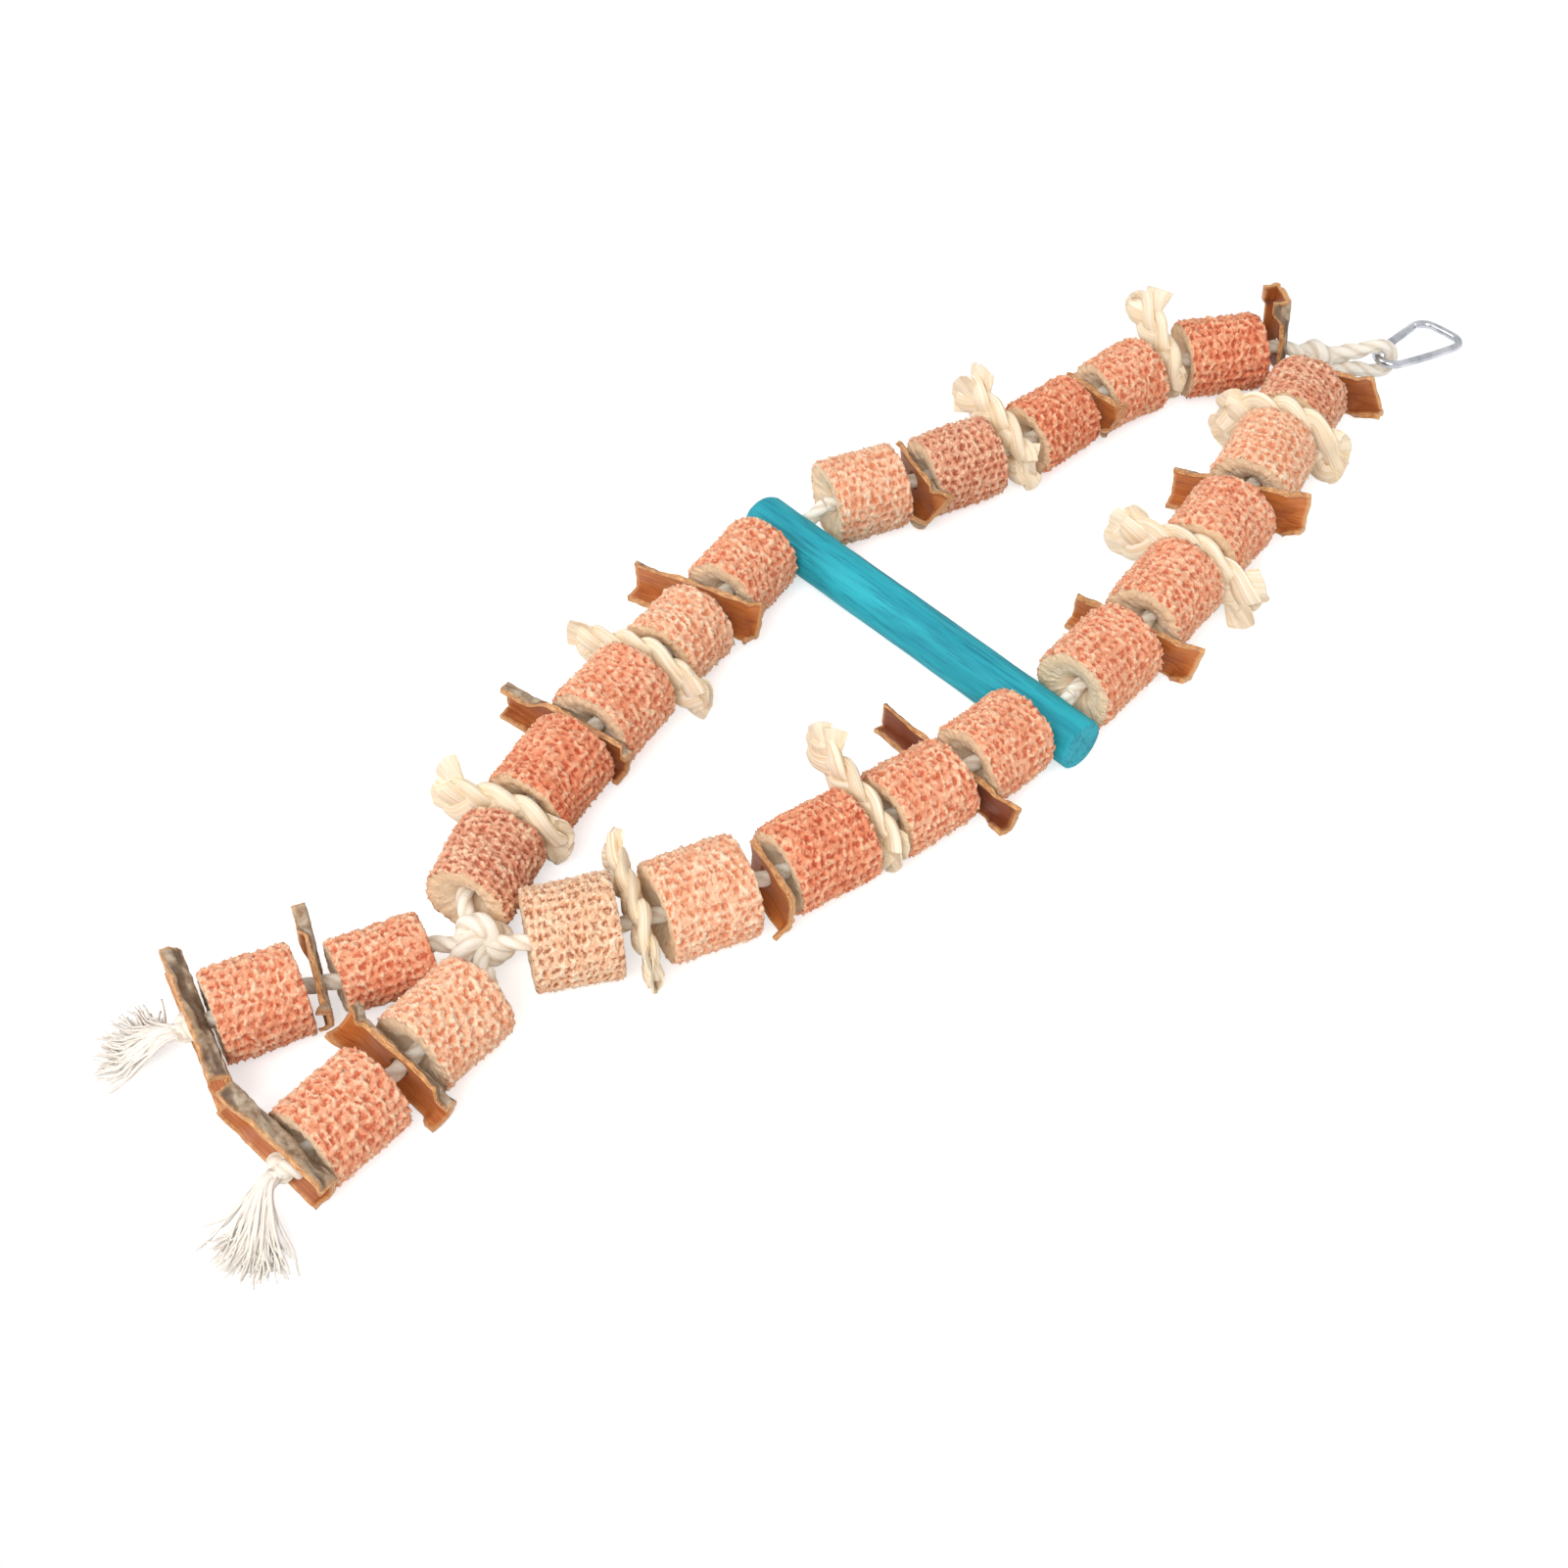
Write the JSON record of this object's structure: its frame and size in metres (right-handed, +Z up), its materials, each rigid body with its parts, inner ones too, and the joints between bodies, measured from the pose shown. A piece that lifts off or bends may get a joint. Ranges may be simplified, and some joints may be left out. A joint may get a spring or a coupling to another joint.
{
  "type": "hanging bird chew toy",
  "caption": "Hanging bird chew toy: a knotted cotton rope strings bored corn cobs, curled bark strips and twisted husks on either side of a dyed wooden perch below a snap hook.",
  "frame": {"origin": "on the surface that the toy lies on, below the centre of the box round the whole toy", "axes": "+Z up from the surface, +Y along the toy towards the hook, +X along the perch"},
  "size_m": [0.1552, 0.5296, 0.0347],
  "materials": {
    "cob": "rough dyed corn cob with kernel pits",
    "bark": "rough curled bark",
    "husk": "dry matt corn husk",
    "rope": "matt cotton",
    "perch": "dyed wood, satin",
    "hook": "bright plated wire"
  },
  "bodies": {
    "hook": {"hook_body": "hook", "hook_pin": "hook"},
    "gate": {"hook_gate": "hook"},
    "upper_frame": {"rope_upper": "rope"},
    "perch": {"perch": "perch", "rope_perch_left": "rope", "rope_perch_right": "rope"},
    "lower_frame": {"rope_lower": "rope"},
    "tail_left": {"rope_tail_left": "rope", "tassel_left": "rope"},
    "tail_right": {"rope_tail_right": "rope", "tassel_right": "rope"},
    "cob_left_5": {"cob_left_5": "cob"},
    "bark_left_3": {"bark_left_3": "bark"},
    "cob_left_4": {"cob_left_4": "cob"},
    "husk_left_2": {"husk_left_2": "husk"},
    "cob_left_3": {"cob_left_3": "cob"},
    "bark_left_2": {"bark_left_2": "bark"},
    "cob_left_2": {"cob_left_2": "cob"},
    "husk_left_1": {"husk_left_1": "husk"},
    "cob_left_1": {"cob_left_1": "cob"},
    "bark_left_1": {"bark_left_1": "bark"},
    "cob_right_5": {"cob_right_5": "cob"},
    "bark_right_3": {"bark_right_3": "bark"},
    "cob_right_4": {"cob_right_4": "cob"},
    "husk_right_2": {"husk_right_2": "husk"},
    "cob_right_3": {"cob_right_3": "cob"},
    "bark_right_2": {"bark_right_2": "bark"},
    "cob_right_2": {"cob_right_2": "cob"},
    "husk_right_1": {"husk_right_1": "husk"},
    "cob_right_1": {"cob_right_1": "cob"},
    "bark_right_1": {"bark_right_1": "bark"},
    "cob_left_6": {"cob_left_6": "cob"},
    "bark_left_4": {"bark_left_4": "bark"},
    "cob_left_7": {"cob_left_7": "cob"},
    "husk_left_3": {"husk_left_3": "husk"},
    "cob_left_8": {"cob_left_8": "cob"},
    "bark_left_5": {"bark_left_5": "bark"},
    "cob_left_9": {"cob_left_9": "cob"},
    "husk_left_4": {"husk_left_4": "husk"},
    "cob_left_10": {"cob_left_10": "cob"},
    "cob_right_6": {"cob_right_6": "cob"},
    "bark_right_4": {"bark_right_4": "bark"},
    "cob_right_7": {"cob_right_7": "cob"},
    "husk_right_3": {"husk_right_3": "husk"},
    "cob_right_8": {"cob_right_8": "cob"},
    "bark_right_5": {"bark_right_5": "bark"},
    "cob_right_9": {"cob_right_9": "cob"},
    "husk_right_4": {"husk_right_4": "husk"},
    "cob_right_10": {"cob_right_10": "cob"},
    "cob_tail_left_1": {"cob_tail_left_1": "cob"},
    "bark_tail_left_1": {"bark_tail_left_1": "bark"},
    "cob_tail_left_2": {"cob_tail_left_2": "cob"},
    "bark_tail_left_2": {"bark_tail_left_2": "bark"},
    "cob_tail_right_1": {"cob_tail_right_1": "cob"},
    "bark_tail_right_1": {"bark_tail_right_1": "bark"},
    "cob_tail_right_2": {"cob_tail_right_2": "cob"},
    "bark_tail_right_2": {"bark_tail_right_2": "bark"}
  },
  "joints": [
    {"name": "gate_hinge", "type": "hinge", "parent": "hook", "child": "gate", "pos_m": [0.01752, 0.23658, 0.00704], "axis": [0.0772, -0.1444, -0.9865], "range_deg": [0, 25], "stiffness_Nm_per_rad": 0.02},
    {"name": "loop_swing", "type": "hinge", "parent": "hook", "child": "upper_frame", "pos_m": [0.02256, 0.2294, 0.00848], "axis": [0.9946, -0.0581, 0.0863], "range_deg": [-20, 40]},
    {"name": "perch_turn", "type": "hinge", "parent": "upper_frame", "child": "perch", "pos_m": [-0.00087, 0.02196, 0.0089], "axis": [1, 0, 0], "range_deg": [-25, 25]},
    {"name": "lower_swing", "type": "hinge", "parent": "perch", "child": "lower_frame", "pos_m": [-0.00087, 0.02196, 0.0089], "axis": [1, 0, 0], "range_deg": [-25, 25]},
    {"name": "tail_left_swing", "type": "hinge", "parent": "lower_frame", "child": "tail_left", "pos_m": [-0.00192, -0.1594, 0.01], "axis": [-0.9511, 0.309, 0], "range_deg": [-32, 28]},
    {"name": "tail_right_swing", "type": "hinge", "parent": "lower_frame", "child": "tail_right", "pos_m": [0.00781, -0.15811, 0.01], "axis": [-0.9925, -0.1219, 0], "range_deg": [-32, 28]},
    {"name": "cob_left_5_spin", "type": "hinge", "parent": "upper_frame", "child": "cob_left_5", "pos_m": [-0.05044, 0.04935, 0.01376], "axis": [0.3752, 0.9269, 0], "continuous": true},
    {"name": "bark_left_3_spin", "type": "hinge", "parent": "upper_frame", "child": "bark_left_3", "pos_m": [-0.04421, 0.06513, 0.01352], "axis": [0.3426, 0.9395, 0], "continuous": true},
    {"name": "cob_left_4_spin", "type": "hinge", "parent": "upper_frame", "child": "cob_left_4", "pos_m": [-0.03875, 0.08143, 0.01328], "axis": [0.3096, 0.9509, 0], "continuous": true},
    {"name": "husk_left_2_spin", "type": "hinge", "parent": "upper_frame", "child": "husk_left_2", "pos_m": [-0.03355, 0.10042, 0.01292], "axis": [0.1743, 0.9847, 0], "continuous": true},
    {"name": "cob_left_3_spin", "type": "hinge", "parent": "upper_frame", "child": "cob_left_3", "pos_m": [-0.03195, 0.11944, 0.01256], "axis": [0.0355, 0.9994, 0], "continuous": true},
    {"name": "bark_left_2_spin", "type": "hinge", "parent": "upper_frame", "child": "bark_left_2", "pos_m": [-0.03109, 0.13629, 0.01256], "axis": [0.0965, 0.9953, 0], "continuous": true},
    {"name": "cob_left_2_spin", "type": "hinge", "parent": "upper_frame", "child": "cob_left_2", "pos_m": [-0.02886, 0.15201, 0.01256], "axis": [0.1571, 0.9876, 0], "continuous": true},
    {"name": "husk_left_1_spin", "type": "hinge", "parent": "upper_frame", "child": "husk_left_1", "pos_m": [-0.02489, 0.16931, 0.0128], "axis": [0.3426, 0.9395, 0], "continuous": true},
    {"name": "cob_left_1_spin", "type": "hinge", "parent": "upper_frame", "child": "cob_left_1", "pos_m": [-0.01546, 0.18734, 0.01304], "axis": [0.5156, 0.8568, 0], "continuous": true},
    {"name": "bark_left_1_spin", "type": "hinge", "parent": "upper_frame", "child": "bark_left_1", "pos_m": [-0.00562, 0.20369, 0.01304], "axis": [0.5156, 0.8568, 0], "range_deg": [-5, 18]},
    {"name": "cob_right_5_spin", "type": "hinge", "parent": "upper_frame", "child": "cob_right_5", "pos_m": [0.05387, 0.04653, 0.01401], "axis": [-0.0876, 0.9962, 0], "continuous": true},
    {"name": "bark_right_3_spin", "type": "hinge", "parent": "upper_frame", "child": "bark_right_3", "pos_m": [0.05205, 0.06481, 0.01401], "axis": [-0.1396, 0.9902, 0], "continuous": true},
    {"name": "cob_right_4_spin", "type": "hinge", "parent": "upper_frame", "child": "cob_right_4", "pos_m": [0.0488, 0.08265, 0.01401], "axis": [-0.1912, 0.9816, 0], "continuous": true},
    {"name": "husk_right_2_spin", "type": "hinge", "parent": "upper_frame", "child": "husk_right_2", "pos_m": [0.04528, 0.10036, 0.01413], "axis": [-0.2083, 0.9781, 0], "continuous": true},
    {"name": "cob_right_3_spin", "type": "hinge", "parent": "upper_frame", "child": "cob_right_3", "pos_m": [0.04145, 0.11723, 0.01425], "axis": [-0.2253, 0.9743, 0], "continuous": true},
    {"name": "bark_right_2_spin", "type": "hinge", "parent": "upper_frame", "child": "bark_right_2", "pos_m": [0.03712, 0.13483, 0.01413], "axis": [-0.276, 0.9612, 0], "continuous": true},
    {"name": "cob_right_2_spin", "type": "hinge", "parent": "upper_frame", "child": "cob_right_2", "pos_m": [0.03121, 0.15273, 0.01401], "axis": [-0.3259, 0.9454, 0], "continuous": true},
    {"name": "husk_right_1_spin", "type": "hinge", "parent": "upper_frame", "child": "husk_right_1", "pos_m": [0.02539, 0.16982, 0.01388], "axis": [-0.3094, 0.9509, 0], "continuous": true},
    {"name": "cob_right_1_spin", "type": "hinge", "parent": "upper_frame", "child": "cob_right_1", "pos_m": [0.02092, 0.18419, 0.01376], "axis": [-0.2928, 0.9562, 0], "continuous": true},
    {"name": "bark_right_1_spin", "type": "hinge", "parent": "upper_frame", "child": "bark_right_1", "pos_m": [0.01668, 0.19803, 0.01376], "axis": [-0.2928, 0.9562, 0], "range_deg": [-30, 3]},
    {"name": "cob_left_6_spin", "type": "hinge", "parent": "lower_frame", "child": "cob_left_6", "pos_m": [-0.05141, -0.00265, 0.01304], "axis": [-0.2251, 0.9743, 0], "continuous": true},
    {"name": "bark_left_4_spin", "type": "hinge", "parent": "lower_frame", "child": "bark_left_4", "pos_m": [-0.04733, -0.0205, 0.01316], "axis": [-0.2166, 0.9763, 0], "continuous": true},
    {"name": "cob_left_7_spin", "type": "hinge", "parent": "lower_frame", "child": "cob_left_7", "pos_m": [-0.04389, -0.03644, 0.01328], "axis": [-0.208, 0.9781, 0], "continuous": true},
    {"name": "husk_left_3_spin", "type": "hinge", "parent": "lower_frame", "child": "husk_left_3", "pos_m": [-0.04036, -0.0526, 0.01388], "axis": [-0.2251, 0.9743, 0], "continuous": true},
    {"name": "cob_left_8_spin", "type": "hinge", "parent": "lower_frame", "child": "cob_left_8", "pos_m": [-0.03602, -0.07039, 0.01449], "axis": [-0.242, 0.9703, 0], "continuous": true},
    {"name": "bark_left_5_spin", "type": "hinge", "parent": "lower_frame", "child": "bark_left_5", "pos_m": [-0.03213, -0.08578, 0.01413], "axis": [-0.2589, 0.9659, 0], "continuous": true},
    {"name": "cob_left_9_spin", "type": "hinge", "parent": "lower_frame", "child": "cob_left_9", "pos_m": [-0.02739, -0.10248, 0.01376], "axis": [-0.2757, 0.9612, 0], "continuous": true},
    {"name": "husk_left_4_spin", "type": "hinge", "parent": "lower_frame", "child": "husk_left_4", "pos_m": [-0.02182, -0.12068, 0.0134], "axis": [-0.3421, 0.9397, 0], "continuous": true},
    {"name": "cob_left_10_spin", "type": "hinge", "parent": "lower_frame", "child": "cob_left_10", "pos_m": [-0.0147, -0.13747, 0.01304], "axis": [-0.4068, 0.9135, 0], "continuous": true},
    {"name": "cob_right_6_spin", "type": "hinge", "parent": "lower_frame", "child": "cob_right_6", "pos_m": [0.05414, -0.00011, 0.01376], "axis": [0.0523, 0.9986, 0], "continuous": true},
    {"name": "bark_right_4_spin", "type": "hinge", "parent": "lower_frame", "child": "bark_right_4", "pos_m": [0.05329, -0.01502, 0.01364], "axis": [0.0784, 0.9969, 0], "continuous": true},
    {"name": "cob_right_7_spin", "type": "hinge", "parent": "lower_frame", "child": "cob_right_7", "pos_m": [0.05173, -0.03061, 0.01352], "axis": [0.1045, 0.9945, 0], "continuous": true},
    {"name": "husk_right_3_spin", "type": "hinge", "parent": "lower_frame", "child": "husk_right_3", "pos_m": [0.04972, -0.0479, 0.01376], "axis": [0.1477, 0.989, 0], "continuous": true},
    {"name": "cob_right_8_spin", "type": "hinge", "parent": "lower_frame", "child": "cob_right_8", "pos_m": [0.04639, -0.06603, 0.01401], "axis": [0.1907, 0.9816, 0], "continuous": true},
    {"name": "bark_right_5_spin", "type": "hinge", "parent": "lower_frame", "child": "bark_right_5", "pos_m": [0.04244, -0.08438, 0.01449], "axis": [0.2672, 0.9636, 0], "continuous": true},
    {"name": "cob_right_9_spin", "type": "hinge", "parent": "lower_frame", "child": "cob_right_9", "pos_m": [0.03644, -0.10198, 0.01497], "axis": [0.342, 0.9397, 0], "continuous": true},
    {"name": "husk_right_4_spin", "type": "hinge", "parent": "lower_frame", "child": "husk_right_4", "pos_m": [0.02947, -0.11967, 0.01497], "axis": [0.4304, 0.9026, 0], "continuous": true},
    {"name": "cob_right_10_spin", "type": "hinge", "parent": "lower_frame", "child": "cob_right_10", "pos_m": [0.02049, -0.13559, 0.01497], "axis": [0.515, 0.8572, 0], "continuous": true},
    {"name": "cob_tail_left_1_spin", "type": "hinge", "parent": "tail_left", "child": "cob_tail_left_1", "pos_m": [-0.01073, -0.17838, 0.01087], "axis": [0.309, 0.9511, 0], "continuous": true},
    {"name": "bark_tail_left_1_spin", "type": "hinge", "parent": "tail_left", "child": "bark_tail_left_1", "pos_m": [-0.0163, -0.19542, 0.01207], "axis": [0.3173, 0.9483, 0], "range_deg": [-20, 4]},
    {"name": "cob_tail_left_2_spin", "type": "hinge", "parent": "tail_left", "child": "cob_tail_left_2", "pos_m": [-0.02195, -0.21193, 0.01328], "axis": [0.3256, 0.9455, 0], "continuous": true},
    {"name": "bark_tail_left_2_spin", "type": "hinge", "parent": "tail_left", "child": "bark_tail_left_2", "pos_m": [-0.02708, -0.22684, 0.01328], "axis": [0.3256, 0.9455, 0], "range_deg": [-90, 90]},
    {"name": "cob_tail_right_1_spin", "type": "hinge", "parent": "tail_right", "child": "cob_tail_right_1", "pos_m": [0.01946, -0.17933, 0.01328], "axis": [-0.1219, 0.9925, 0], "continuous": true},
    {"name": "bark_tail_right_1_spin", "type": "hinge", "parent": "tail_right", "child": "bark_tail_right_1", "pos_m": [0.02173, -0.19869, 0.01328], "axis": [-0.1045, 0.9945, 0], "continuous": true},
    {"name": "cob_tail_right_2_spin", "type": "hinge", "parent": "tail_right", "child": "cob_tail_right_2", "pos_m": [0.02356, -0.21835, 0.01328], "axis": [-0.0872, 0.9962, 0], "continuous": true},
    {"name": "bark_tail_right_2_spin", "type": "hinge", "parent": "tail_right", "child": "bark_tail_right_2", "pos_m": [0.02498, -0.23455, 0.01328], "axis": [-0.0872, 0.9962, 0], "continuous": true}
  ]
}
